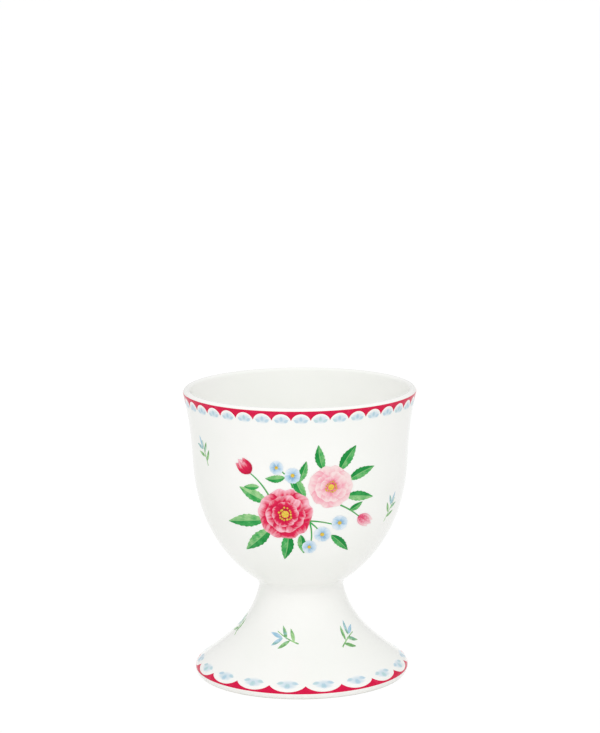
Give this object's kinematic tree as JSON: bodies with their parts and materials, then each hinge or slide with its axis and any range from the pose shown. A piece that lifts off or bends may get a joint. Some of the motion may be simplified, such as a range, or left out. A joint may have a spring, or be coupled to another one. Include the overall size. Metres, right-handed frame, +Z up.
{
  "type": "egg cup",
  "caption": "Footed porcelain egg cup with a flared round bowl on a hollow trumpet foot, scalloped red bands with fan lace, and a small flower spray.",
  "frame": {"origin": "centre of the foot's resting ring, on the table", "axes": "+Z up along the axis of the bowl; -Y towards the side with the flower spray"},
  "size_m": [0.052, 0.052, 0.065],
  "materials": {
    "glazed_porcelain": "clear gloss glaze over white porcelain",
    "slip": "white slip under the glaze",
    "crimson_enamel": "fired gloss enamel",
    "lace_blue_enamel": "fired gloss enamel, pale",
    "rose_enamel": "fired gloss enamel, shaded",
    "pink_enamel": "fired gloss enamel, shaded",
    "sky_blue_enamel": "fired gloss enamel, shaded",
    "yellow_enamel": "fired gloss enamel, dotted",
    "leaf_enamel": "fired gloss enamel, shaded",
    "stem_enamel": "fired gloss enamel, fine lines"
  },
  "bodies": {
    "root": {"bowl": "glazed_porcelain", "foot": "glazed_porcelain", "slip_joint": "slip", "rim_scallop_band": "crimson_enamel", "rim_lace_fans": "lace_blue_enamel", "foot_scallop_band": "crimson_enamel", "foot_lace_fans": "lace_blue_enamel", "crimson_blossoms": "rose_enamel", "pink_blossoms": "pink_enamel", "blue_blossoms": "sky_blue_enamel", "blossom_centres": "yellow_enamel", "spray_leaves": "leaf_enamel", "spray_stems": "stem_enamel", "bowl_sprigs": "leaf_enamel", "foot_sprigs": "leaf_enamel"}
  },
  "joints": []
}
